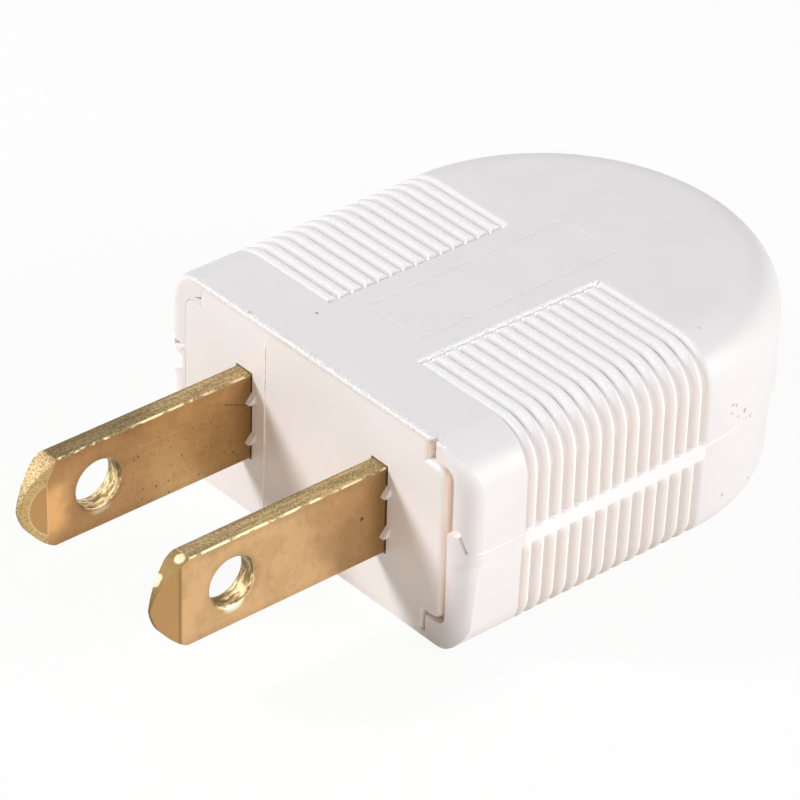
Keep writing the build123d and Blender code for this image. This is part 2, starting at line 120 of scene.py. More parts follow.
class Sheet:
    """A shader node tree with short calls for adding and joining nodes."""

    def __init__(self, tree: NodeTree) -> None:
        """Keep the tree that the calls work on."""
        self.tree = tree

    def add(self, kind: str, **settings: object) -> Node:
        """Add a node.

        Args:
            kind: Node type name.
            settings: Properties to set on the node.

        Returns:
            The new node.
        """
        node = self.tree.nodes.new(kind)
        for name, value in settings.items():
            setattr(node, name, value)
        return node

    def join(self, target: Socket, source: Source) -> None:
        """Join a socket to a node's input, or set the input to a constant.

        Args:
            target: The input.
            source: Socket, number or triple.
        """
        if isinstance(source, Socket):
            self.tree.links.new(source, target)
        elif target.type == "RGBA" and not isinstance(source, float):
            target.default_value = (*source, 1.0)
        else:
            target.default_value = source

    def feed(self, node: Node, *ordered: Source, **named: Source) -> Exits:
        """Feed the inputs of a node.

        Args:
            node: Node that receives the values.
            ordered: Values of its first inputs, in order.
            named: Values of inputs by name, with _ for a space.

        Returns:
            The node's outputs.
        """
        entries: dict[Union[int, str], Source] = dict(enumerate(ordered))
        entries |= {name.replace("_", " "): value for name, value in named.items()}
        for entry, value in entries.items():
            self.join(node.inputs[entry], value)
        return node.outputs

    def sums(self, operation: str, *values: Source) -> Socket:
        """Add a Math node for one to three values."""
        return self.feed(self.add("ShaderNodeMath", operation=operation), *values)[0]

    def times(self, *values: Source) -> Socket:
        """Multiply values together."""
        return reduce(lambda product, value: self.sums("MULTIPLY", product, value), values)

    def step(self, value: Source, low: float, high: float) -> Socket:
        """Rise smoothly from 0 at low to 1 at high, or fall if low is above high."""
        node = self.add("ShaderNodeMapRange", interpolation_type="SMOOTHSTEP")
        return self.feed(node, value, *sorted((low, high)), float(low > high), float(low < high))["Result"]

    def between(self, value: Source, low: float, high: float, soft: float) -> Socket:
        """Give 1 between two values and 0 outside them, with a change of soft to each side of a limit."""
        rise = self.step(value, low - soft, low + soft)
        return self.times(rise, self.step(value, high + soft, high - soft))

    def noise(self, place: Socket, scale: Source, detail: float = 2.0, rough: float = 0.5) -> Socket:
        """Add a Noise texture, scaled by its features to a millimetre."""
        values = {"Vector": place, "Scale": scale, "Detail": detail, "Roughness": rough}
        return self.feed(self.add("ShaderNodeTexNoise"), **values)["Fac"]

    def blend(self, mask: Source, plain: Source, other: Source) -> Socket:
        """Mix two colours.

        Args:
            mask: 0 for the plain colour and 1 for the other.
            plain: First colour.
            other: Second colour.

        Returns:
            The mixed colour's socket.
        """
        node = self.add("ShaderNodeMix", data_type="RGBA")
        for entry, source in zip((0, 6, 7), (mask, plain, other)):
            self.join(node.inputs[entry], source)
        return node.outputs[2]

    def mix(self, mask: Source, plain: Source, other: Source) -> Socket:
        """Mix two numbers: the plain one where the mask is 0 and the other where it is 1."""
        node = self.add("ShaderNodeMix", data_type="FLOAT")
        return self.feed(node, Factor=mask, A=plain, B=other)[0]

    def stretch(self, place: Socket, factors: Triple) -> Socket:
        """Scale coordinates by a factor for each axis."""
        return self.feed(self.add("ShaderNodeVectorMath", operation="MULTIPLY"), place, factors)[0]

    def axes(self, vector: Socket) -> tuple[Socket, Socket, Socket]:
        """Split a vector into its X, Y and Z."""
        parts = self.feed(self.add("ShaderNodeSeparateXYZ"), vector)
        return parts[0], parts[1], parts[2]

    def seen(self) -> Socket:
        """Tell rays that show the background from those that light the object.

        Returns:
            A mask that is 1 for camera, glossy and transmission rays.
        """
        path = self.add("ShaderNodeLightPath")
        mask = self.sums("MAXIMUM", path.outputs["Is Camera Ray"], path.outputs["Is Glossy Ray"])
        return self.sums("MAXIMUM", mask, path.outputs["Is Transmission Ray"])


class Effects:
    """The shader node groups that the finishes use, each built once."""

    sparkle_rise: Span = (0.55, 0.68)
    pit_drop: Span = (0.43, 0.33)
    pit_scale: float = 1.37
    fleck_least: float = 0.08
    fleck_spread: float = 0.16
    fleck_edge: Span = (-0.03, 0.05)
    speck_scale: float = 9.0
    speck_edge: Span = (1.1, 0.7)

    def __init__(self) -> None:
        """Build the groups."""
        self.grain = self._grain()
        self.flecks = self._flecks()
        self.speck = self._speck()

    @staticmethod
    def _start(name: str, vectors: list[str], numbers: list[str], exits: list[str]) -> Group:
        """Begin a group.

        Args:
            name: Name of the group.
            vectors: Names of its vector inputs.
            numbers: Names of its number inputs.
            exits: Names of its outputs, which are numbers.

        Returns:
            The group's sheet, its input sockets by name, and its output node.
        """
        tree = bpy.data.node_groups.new(name, "ShaderNodeTree")
        kinds = (("INPUT", "Vector", vectors), ("INPUT", "Float", numbers), ("OUTPUT", "Float", exits))
        for way, kind, labels in kinds:
            for label in labels:
                tree.interface.new_socket(label, in_out=way, socket_type=f"NodeSocket{kind}")
        sheet = Sheet(tree)
        inner = sheet.add("NodeGroupInput").outputs
        given = {label: inner[label] for label in vectors + numbers}
        return sheet, given, sheet.add("NodeGroupOutput")

    def _grain(self) -> NodeTree:
        """Build the fine tooth that a sparked mould leaves on plastic.

        Returns:
            A group with a height and masks of its brightest and darkest points.
        """
        sheet, given, end = self._start("sparked grain", ["Place"], ["Scale"], ["Height", "Sparkle", "Pit"])
        tooth = sheet.noise(given["Place"], given["Scale"], 1.0)
        hollows = sheet.noise(given["Place"], sheet.times(given["Scale"], self.pit_scale), 1.0)
        sparkle = sheet.step(tooth, *self.sparkle_rise)
        sheet.feed(end, tooth, sparkle, sheet.step(hollows, *self.pit_drop))
        return sheet.tree

    def _flecks(self) -> NodeTree:
        """Build scattered small flecks, for pits in metal and dust on plastic.

        Returns:
            A group with a mask that is 1 inside a fleck.
        """
        sheet, given, end = self._start("flecks", ["Place"], ["Scale", "Share"], ["Mask"])
        cells = sheet.add("ShaderNodeTexVoronoi", feature="F1")
        cells = sheet.feed(cells, Vector=given["Place"], Scale=given["Scale"])
        chance, size, _ = sheet.axes(cells["Color"])
        kept = sheet.sums("LESS_THAN", chance, given["Share"])
        reach = sheet.sums("MULTIPLY_ADD", size, self.fleck_spread, self.fleck_least)
        inside = sheet.sums("SUBTRACT", reach, cells["Distance"])
        sheet.feed(end, sheet.times(kept, sheet.step(inside, *self.fleck_edge)))
        return sheet.tree

    def _speck(self) -> NodeTree:
        """Build one ragged speck at a set place.

        Returns:
            A group with a mask that is 1 on the speck.
        """
        sheet, given, end = self._start("speck", ["Place", "Centre"], ["Radius", "Ragged"], ["Mask"])
        away = sheet.add("ShaderNodeVectorMath", operation="DISTANCE")
        away = sheet.feed(away, given["Place"], given["Centre"])["Value"]
        ragged = sheet.sums("SUBTRACT", sheet.noise(given["Place"], self.speck_scale), 0.5)
        worn = sheet.sums("ADD", away, sheet.times(ragged, given["Radius"], given["Ragged"]))
        sheet.feed(end, sheet.step(sheet.sums("DIVIDE", worn, given["Radius"]), *self.speck_edge))
        return sheet.tree


@dataclass(frozen=True)
class Pattern:
    """A noise over a surface: its features, its stretch and the values between which its mask rises."""

    scale: float
    detail: float = 2.0
    rough: float = 0.5
    stretch: Triple = EVEN
    rise: Span = (0.0, 1.0)


@dataclass(frozen=True)
class Flecks:
    """Scattered flecks: how many cells to a millimetre and the share of cells that hold one."""

    scale: float
    share: float
    stretch: Triple = EVEN


@dataclass(frozen=True)
class Speck:
    """A speck at a place on the surface, in millimetres."""

    place: Triple
    radius: float
    strength: float = 0.75
    ragged: float = 2.4


class Coat(Sheet):
    """The sheet of one finish, with its coordinates in millimetres and what is painted so far."""

    def __init__(self, material: Material, effects: Effects, base: Triple) -> None:
        """Open a new material.

        Args:
            material: The material, with its nodes in use.
            effects: Shared node groups.
            base: Colour to start from.
        """
        super().__init__(material.node_tree)
        self.effects = effects
        self.shader = material.node_tree.nodes["Principled BSDF"]
        spot = self.add("ShaderNodeTexCoord").outputs["Object"]
        self.place = self.stretch(spot, (1.0 / MM, 1.0 / MM, 1.0 / MM))
        self.x, self.y, self.z = self.axes(self.place)
        self.colour: Source = base
        self.height: Source = 0.0

    def normal(self) -> tuple[Socket, Socket, Socket]:
        """Give the X, Y and Z parts of the direction that the surface faces."""
        return self.axes(self.add("ShaderNodeNewGeometry").outputs["Normal"])

    def size(self, value: Source) -> Socket:
        """Give a value without its sign."""
        return self.sums("ABSOLUTE", value)

    def values(self, pattern: Pattern) -> Socket:
        """Give the values of a pattern."""
        place = self.stretch(self.place, pattern.stretch)
        return self.noise(place, pattern.scale, pattern.detail, pattern.rough)

    def mask(self, pattern: Pattern) -> Socket:
        """Give the mask of a pattern."""
        return self.step(self.values(pattern), *pattern.rise)

    def swing(self, pattern: Pattern, reach: float) -> Socket:
        """Give a pattern's values as shifts of up to half the reach to either side."""
        return self.times(self.sums("SUBTRACT", self.values(pattern), 0.5), reach)

    def effect(self, group: NodeTree, **values: Source) -> Exits:
        """Place a shared effect and give its outputs."""
        return self.feed(self.add("ShaderNodeGroup", node_tree=group), **values)

    def flecks(self, kind: Flecks) -> Socket:
        """Give the mask of scattered flecks."""
        place = self.stretch(self.place, kind.stretch)
        return self.effect(self.effects.flecks, Place=place, Scale=kind.scale, Share=kind.share)["Mask"]

    def speck(self, kind: Speck) -> Socket:
        """Give the mask of one speck at full strength."""
        sizes = {"Centre": kind.place, "Radius": kind.radius, "Ragged": kind.ragged}
        return self.effect(self.effects.speck, Place=self.place, **sizes)["Mask"]

    def paint(self, mask: Source, tint: Source, strength: float = 1.0) -> None:
        """Lay a colour over what is painted so far.

        Args:
            mask: Where the colour goes.
            tint: The colour.
            strength: How far it covers what is below.
        """
        cover = mask if strength == 1.0 else self.times(mask, strength)
        self.colour = self.blend(cover, self.colour, tint)

    def lift(self, height: Source) -> None:
        """Add to the height so far."""
        self.height = self.sums("ADD", self.height, height)

    def close(self, rough: Source, depth: float) -> None:
        """Join what is painted to the shader.

        Args:
            rough: Roughness.
            depth: Depth in millimetres of the relief where the height is 1.
        """
        bump = self.feed(self.add("ShaderNodeBump"), Strength=1.0, Distance=depth * MM, Height=self.height)
        self.feed(self.shader, Base_Color=self.colour, Roughness=rough, Normal=bump["Normal"])


@dataclass(frozen=True)
class Finish:
    """What every finish has: a name and the plain values of its shader."""

    name: str
    tint: Triple
    roughness: float

    def build(self, effects: Effects) -> Material:
        """Make the material.

        Args:
            effects: Shared node groups.

        Returns:
            The finished material.
        """
        material = bpy.data.materials.new(self.name)
        material.use_nodes = True
        self._paint(Coat(material, effects, self.tint))
        return material

    def _paint(self, coat: Coat) -> None:
        """Paint a new coat; each kind of finish has its own way."""
        raise NotImplementedError(self.name)


@dataclass(frozen=True)
class MouldedPlastic(Finish):
    """Satin white moulding with faint dust; kinds of it add their own marks."""

    specks: tuple[Speck, ...] = ()
    right_side: Span = (0.0, 1.0)
    dirt: Triple = (0.13, 0.09, 0.07)
    # Painted shade for the crevices beside the front plate.
    crevice_shade: Triple = (0.92, 0.81, 0.73)
    # Painted light that lifts shaded hollows, rib tips, the strip's rim and the left crevice.
    painted_light_tint: Triple = (1.0, 0.975, 0.95)
    waves: Pattern = Pattern(0.35, rise=(0.3, 0.7))
    wave_shade: float = 0.98
    wave_height: float = 0.15
    wave_rough: float = 0.1
    dust: Flecks = Flecks(1.7, 0.005)
    dust_cover: float = 0.2
    relief: float = 0.03
    matte: float = 0.85
    translucency: float = 0.1
    glow_depth: float = 0.4
    glow_spread: Triple = (1.0, 0.75, 0.6)

    def _paint(self, coat: Coat) -> None:
        """Paint the waves of the moulding, its marks, the dust and the specks.

        Args:
            coat: The new coat.
        """
        waves = coat.values(self.waves)
        hollows = shade(self.tint, self.wave_shade)
        coat.colour = coat.blend(coat.step(waves, *self.waves.rise), hollows, self.tint)
        coat.height = coat.times(waves, self.wave_height)
        dull = self._marks(coat)
        coat.paint(coat.flecks(self.dust), self.dirt, self.dust_cover)
        for speck in self.specks:
            coat.paint(coat.speck(speck), self.dirt, speck.strength)
        rough = coat.sums("MULTIPLY_ADD", waves, self.wave_rough, self.roughness - 0.5 * self.wave_rough)
        coat.close(coat.mix(dull, rough, self.matte), self.relief)
        coat.feed(coat.shader, Subsurface_Weight=self.translucency, Subsurface_Radius=self.glow_spread)
        coat.feed(coat.shader, Subsurface_Scale=self.glow_depth * MM)

    def _marks(self, coat: Coat) -> Source:
        """Add the marks of one kind of moulding and give a mask of its matte parts; here there are none."""
        return 0.0


@dataclass(frozen=True)
class ShellPlastic(MouldedPlastic):
    """Shell moulding: matte finger ribs with painted light and shade, a rough brow with a painted
    highlight, painted shade and light in the crevices.
    """

    rib_span: Band = (4.68, 19.35, 0.05)
    rib_sides: Span = (4.2, 4.3)
    rib_turn: Span = (5.0, 6.8)
    rib_tint: Triple = (0.87, 0.85, 0.875)
    rib_grain: float = 8.0
    pit_shade: float = 0.94
    sparkle_shade: float = 1.12
    grain_height: float = 0.5
    flank_rise: Span = (0.0, 0.5)
    crest_light_factor: float = 1.2
    shaded_flank_tint: Triple = (0.775, 0.705, 0.665)
    steep_rise: Span = (0.5, 0.85)
    valley_shade_tint: Triple = (0.70, 0.665, 0.645)
    valley_rise: Span = (5.8, 6.9)
    turn_rise: Span = (3.0, 6.0)
    turn_drop: Span = (7.0, 6.0)
    turn_cover: float = 0.6
    band_rise: Span = (-1.6, -0.7)
    band_drop: Span = (0.55, 0.45)
    band_light_factor: float = 1.11
    crumbs: Pattern = Pattern(3.0, 3.0, 0.7)
    crumb_height: float = 2.0
    tip_reach: Span = (4.8, 4.5)
    tip_drop: Span = (6.9, 6.82)
    rim_sides: Band = (4.1, 4.2, 0.03)
    rim_breaks: Pattern = Pattern(2.6, rise=(0.38, 0.5))
    rim_cover: float = 0.9
    groove_sides: Band = (4.18, 4.45, 0.03)
    groove_drop: Span = (7.06, 7.0)
    brow_sides: Span = (-11.8, -10.8)
    brow_reach: Span = (0.5, 0.2)
    brow_rise: Span = (6.8, 6.95)
    brow_burrs: Pattern = Pattern(1.9, 3.0, 0.75, (2.6, 3.0, 3.0), (0.48, 0.58))
    brow_wander: Pattern = Pattern(0.8)
    brow_swing: float = 0.5
    brow_highlight_factor: float = 1.28
    brow_height: float = 1.8
    inward_drop: Span = (1.6, 0.6)
    crevice_sides: Span = (13.2, 13.0)
    crevice_top: Span = (6.95, 6.75)
    crevice_depth: Band = (0.2, 0.8, 0.15)
    gap_sides: Span = (12.8, 13.1)
    gap_depth: Span = (2.0, 1.7)
    gap_heights: Band = (-1.0, 1.9, 0.15)
    level_rise: Span = (0.2, 0.5)
    nooks: tuple[Box, ...] = (
        ((-11.6, 0.06, 5.2), (-10.2, 0.9, 6.3)),
        ((-13.9, 0.06, 0.9), (-12.7, 0.9, 2.0)),
    )
    nook_soft: float = 0.03
    soil: Flecks = Flecks(2.3, 0.3, (1.0, 0.5, 1.0))
    soil_patch: Speck = Speck((13.8, 22.5, 1.0), 3.0, 0.4, 0.3)

    def _marks(self, coat: Coat) -> Source:
        """Add the ribs' tones with their painted light and shade, the painted shade and light of the
        crevices, gaps and nooks, the brow and a patch of soil.

        Args:
            coat: The coat so far.

        Returns:
            A mask of the matte parts.
        """
        flank = coat.step(coat.size(coat.x), *self.rib_sides)
        along = coat.between(coat.y, *self.rib_span)
        ribs = coat.times(flank, along)
        above = coat.times(ribs, coat.step(coat.z, *self.rib_turn))
        self._ribs(coat, ribs, above)
        self._strip_edges(coat, along, above)
        self._crevice_shading(coat)
        self._brow(coat)
        soil = coat.times(coat.flecks(self.soil), coat.speck(self.soil_patch))
        coat.paint(soil, self.dirt, self.soil_patch.strength)
        return ribs

    def _ribs(self, coat: Coat, ribs: Socket, above: Socket) -> None:
        """Tone the ribs: sparked grain on top, painted shade on the front-facing flanks, painted light
        behind each crest and on the band under the seam, painted shade in the top hollows, painted light
        where the ribs turn down.

        Args:
            coat: The coat so far.
            ribs: Mask of the ribbed areas.
            above: Mask of the ribs on the top face.
        """
        facing = coat.normal()[1]
        grain = coat.effect(coat.effects.grain, Place=coat.place, Scale=self.rib_grain)
        tops = coat.blend(grain["Pit"], self.rib_tint, shade(self.rib_tint, self.pit_shade))
        coat.paint(above, coat.blend(grain["Sparkle"], tops, shade(self.rib_tint, self.sparkle_shade)))
        beside = coat.times(ribs, coat.step(coat.z, *reversed(self.rib_turn)))
        band = coat.times(coat.step(coat.z, *self.band_rise), coat.step(coat.z, *self.band_drop))
        # Painted shade on the front-facing rib flanks and painted light behind each crest.
        crest = shade(self.tint, self.crest_light_factor)
        flanks = coat.blend(coat.step(facing, *self.flank_rise), self.shaded_flank_tint, crest)
        # Painted light on the band under the seam.
        coat.paint(beside, coat.blend(band, flanks, shade(self.tint, self.band_light_factor)))
        steep = coat.step(coat.size(facing), *self.steep_rise)
        # Painted shade in the hollows between the top ribs.
        coat.paint(coat.times(above, steep, coat.step(coat.z, *self.valley_rise)), self.valley_shade_tint)
        # Painted light on the steep rib flanks where the ribs turn down the sides.
        turning = coat.times(
            ribs, steep, coat.step(coat.z, *self.turn_rise), coat.step(coat.z, *self.turn_drop)
        )
        coat.paint(turning, self.painted_light_tint, self.turn_cover)
        coat.lift(coat.times(band, ribs, coat.values(self.crumbs), self.crumb_height))
        coat.lift(coat.times(above, grain["Height"], self.grain_height))

    def _strip_edges(self, coat: Coat, along: Socket, above: Socket) -> None:
        """Put painted light on the rib tips, a broken painted highlight on the rim of the strip between
        them, and painted light in the groove.

        Args:
            coat: The coat so far.
            along: Mask of the ribbed length.
            above: Mask of the ribs on the top face.
        """
        aside = coat.size(coat.x)
        # Painted light on the rib tips, a broken painted highlight on the strip's rim, painted light in the
        # groove.
        tips = coat.times(above, coat.step(aside, *self.tip_reach), coat.step(coat.z, *self.tip_drop))
        coat.paint(tips, self.painted_light_tint)
        rim = coat.between(aside, *self.rim_sides)
        coat.paint(coat.times(rim, along, coat.mask(self.rim_breaks)), self.painted_light_tint, self.rim_cover)
        groove = coat.between(aside, *self.groove_sides)
        coat.paint(coat.times(groove, along, coat.step(coat.z, *self.groove_drop)), WHITE)

    def _crevice_shading(self, coat: Coat) -> None:
        """Paint shade into the crevice beside the front plate on the right and light into it on the left,
        and paint light into the side gaps and the nooks.

        Args:
            coat: The coat so far.
        """
        rising, aside = coat.normal()[2], coat.size(coat.x)
        inside = coat.times(
            coat.step(coat.times(coat.z, rising), *self.inward_drop),
            coat.step(aside, *self.crevice_sides),
            coat.step(coat.size(coat.z), *self.crevice_top),
            coat.between(coat.y, *self.crevice_depth),
        )
        # Painted shade in the right crevice and painted light in the left one.
        coat.paint(inside, coat.blend(coat.step(coat.x, *self.right_side), self.painted_light_tint, self.crevice_shade))
        gap = coat.times(
            coat.step(coat.y, *self.gap_depth),
            coat.between(coat.z, *self.gap_heights),
            coat.step(aside, *self.gap_sides),
        )
        # Painted light in the side gaps.
        coat.paint(coat.times(gap, coat.step(coat.size(rising), *self.level_rise)), self.painted_light_tint)
        # Painted light in the shaded nooks.
        for corners in self.nooks:
            limits = zip((coat.x, coat.y, coat.z), *corners)
            nook = [coat.between(axis, low, high, self.nook_soft) for axis, low, high in limits]
            coat.paint(coat.times(*nook), WHITE)

    def _brow(self, coat: Coat) -> None:
        """Roughen the front edge of the top face and paint a broken highlight along it.

        Args:
            coat: The coat so far.
        """
        burrs = coat.values(self.brow_burrs)
        wander = coat.swing(self.brow_wander, self.brow_swing)
        brow = coat.times(
            coat.step(coat.x, *self.brow_sides),
            coat.step(coat.sums("ADD", coat.y, wander), *self.brow_reach),
            coat.step(coat.z, *self.brow_rise),
        )
        # Painted highlight along the edge, broken by the burrs.
        white = shade(self.tint, self.brow_highlight_factor)
        coat.paint(coat.times(brow, coat.step(burrs, *self.brow_burrs.rise)), white)
        coat.lift(coat.times(brow, burrs, self.brow_height))


@dataclass(frozen=True)
class PlatePlastic(MouldedPlastic):
    """Front plate moulding: painted light in one panel line and on its edges, painted shade and light on
    the flange in the crevices.
    """

    line_sides: Band = (-4.45, -4.35, 0.06)
    line_top: Span = (6.3, 5.9)
    line_light_breaks: Pattern = Pattern(1.3, rise=(0.3, 0.55))
    line_light_tint: Triple = (1.0, 0.95, 0.90)
    blotches: Pattern = Pattern(0.55, 4.0, 0.65, rise=(0.48, 0.68))
    blotch: Triple = (0.83, 0.765, 0.735)
    blotch_cover: float = 0.6
    edge_light_tint: Triple = (1.0, 0.91, 0.83)
    outer_facing: Span = (0.3, 0.8)
    outer_sides: Span = (9.8, 10.3)
    inner_sides: Span = (-10.0, -10.3)
    inner_depth: Span = (0.04, 0.08)
    flange_depth: Span = (0.2, 0.5)

    def _marks(self, coat: Coat) -> Source:
        """Add the blotches, the painted light in the panel line and on the edges, and the painted shade and
        light on the flange.

        Args:
            coat: The coat so far.

        Returns:
            No matte parts.
        """
        coat.paint(coat.mask(self.blotches), self.blotch, self.blotch_cover)
        # Painted light in the panel line's groove, broken along its length.
        line = coat.between(coat.x, *self.line_sides)
        line = coat.times(line, coat.step(coat.size(coat.z), *self.line_top))
        coat.paint(coat.times(line, coat.mask(self.line_light_breaks)), self.line_light_tint)
        # Painted light on the plate's edges beside the crevices.
        facing = coat.step(coat.normal()[0], *self.outer_facing)
        outer = coat.times(facing, coat.step(coat.x, *self.outer_sides))
        inner = coat.times(coat.step(coat.x, *self.inner_sides), coat.step(coat.y, *self.inner_depth))
        coat.paint(coat.sums("MAXIMUM", outer, inner), self.edge_light_tint)
        # Painted light on the flange in the left crevice and painted shade in the right one.
        floor = coat.blend(coat.step(coat.x, *self.right_side), self.edge_light_tint, self.crevice_shade)
        coat.paint(coat.step(coat.y, *self.flange_depth), floor)
        return 0.0


@dataclass(frozen=True)
class RolledBrass(Finish):
    """Rolled brass: tarnished faces with painted shade at the roots, sheared edges with painted highlights,
    coined noses with painted shade and highlights, pits on the left blade.
    """

    blade_x: float = 6.35
    left_side: Span = (0.5, -0.5)
    wide_rise: Span = (0.75, 0.93)
    grit: Pattern = Pattern(8.5, 3.0, 0.75, (1.0, 0.8, 1.0))
    grit_rise: Span = (0.38, 0.62)
    grit_heights: Span = (3.0, 0.3)
    rolled: Pattern = Pattern(1.6, 3.0, 0.6, (1.0, 0.12, 2.2))
    rolled_rough: float = 0.16
    sheared_rough: float = 0.6
    fine: Pattern = Pattern(4.0, 2.0, 0.6)
    grain_height: float = 0.4
    relief: float = 0.012
    highlight_tint: Triple = (1.0, 0.85, 0.55)
    corner_rise: Span = (0.5, 0.66)
    corner_dashes: Pattern = Pattern(1.7, 3.0, 0.5, (1.0, 0.6, 1.0), (0.44, 0.54))
    corner_cover: float = 0.75
    glint_tint: Triple = (0.60, 0.52, 0.36)
    glints: tuple[Speck, ...] = (
        Speck((6.50, -15.12, 2.92), 0.38, 0.95, 0.5),
        Speck((6.12, -16.4, 1.92), 0.30, 0.8, 0.5),
        Speck((6.1, -16.57, 1.66), 0.30, 0.8, 0.5),
    )
    edge_tint: Triple = (0.47, 0.345, 0.175)
    edge_shades: Span = (0.58, 1.3)
    edge_rise: Span = (0.4, 0.62)
    grit_share: float = 0.7
    drawn: Pattern = Pattern(1.2, stretch=(3.2, 0.2, 1.0))
    drawn_share: float = 0.3
    tip_dark_tint: Triple = (0.03, 0.02, 0.008)
    tip_dark_run: Span = (-4.0, -9.0)
    tip_dark_cover: Span = (0.1, 0.48)
    wall_drop: Span = (2.6, 2.3)
    wall_tints: Shades = ((0.22, 0.16, 0.075), (0.88, 0.69, 0.40))
    broached: Pattern = Pattern(1.5, 3.0, 0.7, (2.8, 0.7, 0.7), (0.40, 0.68))
    far_drop: Span = (-0.4, -0.65)
    far_cover: float = 0.5
    nose_run: Span = (-14.75, -14.9)
    left_nose: Shades = ((0.24, 0.17, 0.08), (0.56, 0.42, 0.23))
    right_nose: Triple = (0.215, 0.14, 0.058)
    left_tint: Triple = (0.50, 0.275, 0.115)
    left_rear: Triple = (0.69, 0.42, 0.175)
    rear_run: Span = (-9.5, -5.0)
    clouds: Pattern = Pattern(0.45, 3.0, 0.55, rise=(0.62, 0.38))
    cloud_cover: float = 0.15
    mottle: Pattern = Pattern(2.2, 2.0, 0.6, rise=(0.5, 0.75))
    mottle_cover: float = 0.12
    dot_rise: Span = (0.46, 0.64)
    dot_cover: Span = (0.04, 0.14)
    shadow_tint: Triple = (0.12, 0.06, 0.02)
    shadow_cover: float = 0.14
    side_rise: Span = (2.3, 3.0)
    hole_y: float = -11.65
    ring_reach: Span = (2.35, 1.7)
    lip_highlight_tint: Triple = (1.0, 0.89, 0.66)
    lip_reach: Span = (2.22, 1.9)
    lip_drop: Span = (-1.2, -1.6)
    lip_run: Band = (-12.15, -10.95, 0.35)
    lip_cover: Span = (0.95, 0.4)
    burnish_tint: Triple = (0.90, 0.50, 0.20)
    score_slope: float = 0.0374
    score_heights: Band = (1.075, 1.115, 0.03)
    score_run: Band = (-8.7, -3.3, 0.4)
    score_cover: float = 0.4
    root_shade_tint: Triple = (0.36, 0.215, 0.088)
    root_run: Span = (-2.8, -0.2)
    root_cover: float = 0.9
    patch_edge: Pattern = Pattern(1.2, 3.0, 0.6)
    patch_swing: float = 1.2
    patch_run: Span = (-13.3, -14.9)
    patch_heights: Band = (-2.0, 1.2, 0.9)
    patch_cover: float = 0.85
    coin_run: Span = (-15.44, -15.56)
    coin_shade_tint: Triple = (0.50, 0.285, 0.11)
    coin_cover: float = 0.9
    ridge_shadow_tint: Triple = (0.24, 0.15, 0.06)
    ridge_run: Band = (-15.6, -15.4, 0.1)
    ridge_cover: float = 0.7
    keen_run: Band = (-15.5, -15.47, 0.04)
    keen_heights: Band = (-2.1, 1.6, 0.1)
    keen_cover: float = 0.55
    facet_centre: Span = (-14.5, -0.22)
    facet_radius: float = 2.08
    facet_rise: Span = (-0.03, 0.03)
    bead_run: Band = (-0.03, 0.03, 0.04)
    corner_y: float = -14.75
    corner_slope: float = 2.0
    corner_run: Band = (-15.5, -14.75, 0.05)
    corner_cut: Span = (3.05, 3.15)
    left_rim: Shades = ((0.44, 0.30, 0.125), (0.70, 0.49, 0.22))
    bead_cover: float = 0.45
    pit_and_far_edge_tint: Triple = (0.14, 0.075, 0.035)
    pit_cover: float = 0.8
    pits: Flecks = Flecks(3.0, 0.9)
    pit_run: Band = (-9.5, -0.3, 0.8)
    pit_drop: Span = (2.4, 0.9)
    pit_patches: Pattern = Pattern(0.6, rise=(0.28, 0.44))
    pit_share_right: float = 0.1
    scratch_slope: float = -0.417
    scratch_start: float = 0.842
    scratch_edge: Span = (0.07, 0.03)
    scratch_run: Band = (-2.1, -0.1, 0.1)
    scratch_sides: Span = (-5.0, -5.5)
    scratch_depth: float = 0.7
    dark_speck: Speck = Speck((7.05, -1.87, 0.18), 0.13)

    def _paint(self, coat: Coat) -> None:
        """Paint the edges and the faces, then the painted highlights along the edges, the glints and the
        pits.

        Args:
            coat: The new coat.
        """
        across, _, upward = coat.normal()
        wide = coat.step(coat.size(across), *self.wide_rise)
        left = coat.step(coat.x, *self.left_side)
        grit = coat.values(self.grit)
        self._edge(coat, left, grit)
        edge = coat.colour
        self._face(coat, left, grit)
        self._nose(coat, left, grit)
        coat.colour = coat.blend(wide, edge, coat.colour)
        # Painted highlights in broken dashes along the edges that face up and out.
        corner = coat.times(coat.step(across, *self.corner_rise), coat.step(upward, *self.corner_rise))
        coat.paint(coat.times(corner, coat.mask(self.corner_dashes)), self.highlight_tint, self.corner_cover)
        for glint in self.glints:
            coat.paint(coat.speck(glint), self.glint_tint, glint.strength)
        pitted = self._pits(coat, wide, left)
        coat.paint(pitted, self.pit_and_far_edge_tint, self.pit_cover)
        rolled = coat.values(self.rolled)
        coat.height = coat.times(rolled, self.grain_height)
        coat.lift(coat.times(coat.values(self.fine), self.grain_height))
        coat.lift(coat.times(grit, coat.mix(wide, *self.grit_heights)))
        coat.height = coat.sums("SUBTRACT", coat.height, pitted)
        worn = coat.sums("MULTIPLY_ADD", rolled, self.rolled_rough, self.roughness)
        coat.close(coat.mix(wide, self.sheared_rough, worn), self.relief)
        coat.feed(coat.shader, Metallic=1.0)

    @staticmethod
    def _away(coat: Coat, y: float, z: float) -> Socket:
        """Measure the distance from a line across the blades.

        Args:
            coat: The coat.
            y: Place of the line along the blades.
            z: Height of the line.

        Returns:
            The distance's socket, in millimetres.
        """
        run = coat.sums("SUBTRACT", coat.y, y)
        rise = coat.sums("SUBTRACT", coat.z, z)
        return coat.sums("SQRT", coat.sums("ADD", coat.times(run, run), coat.times(rise, rise)))

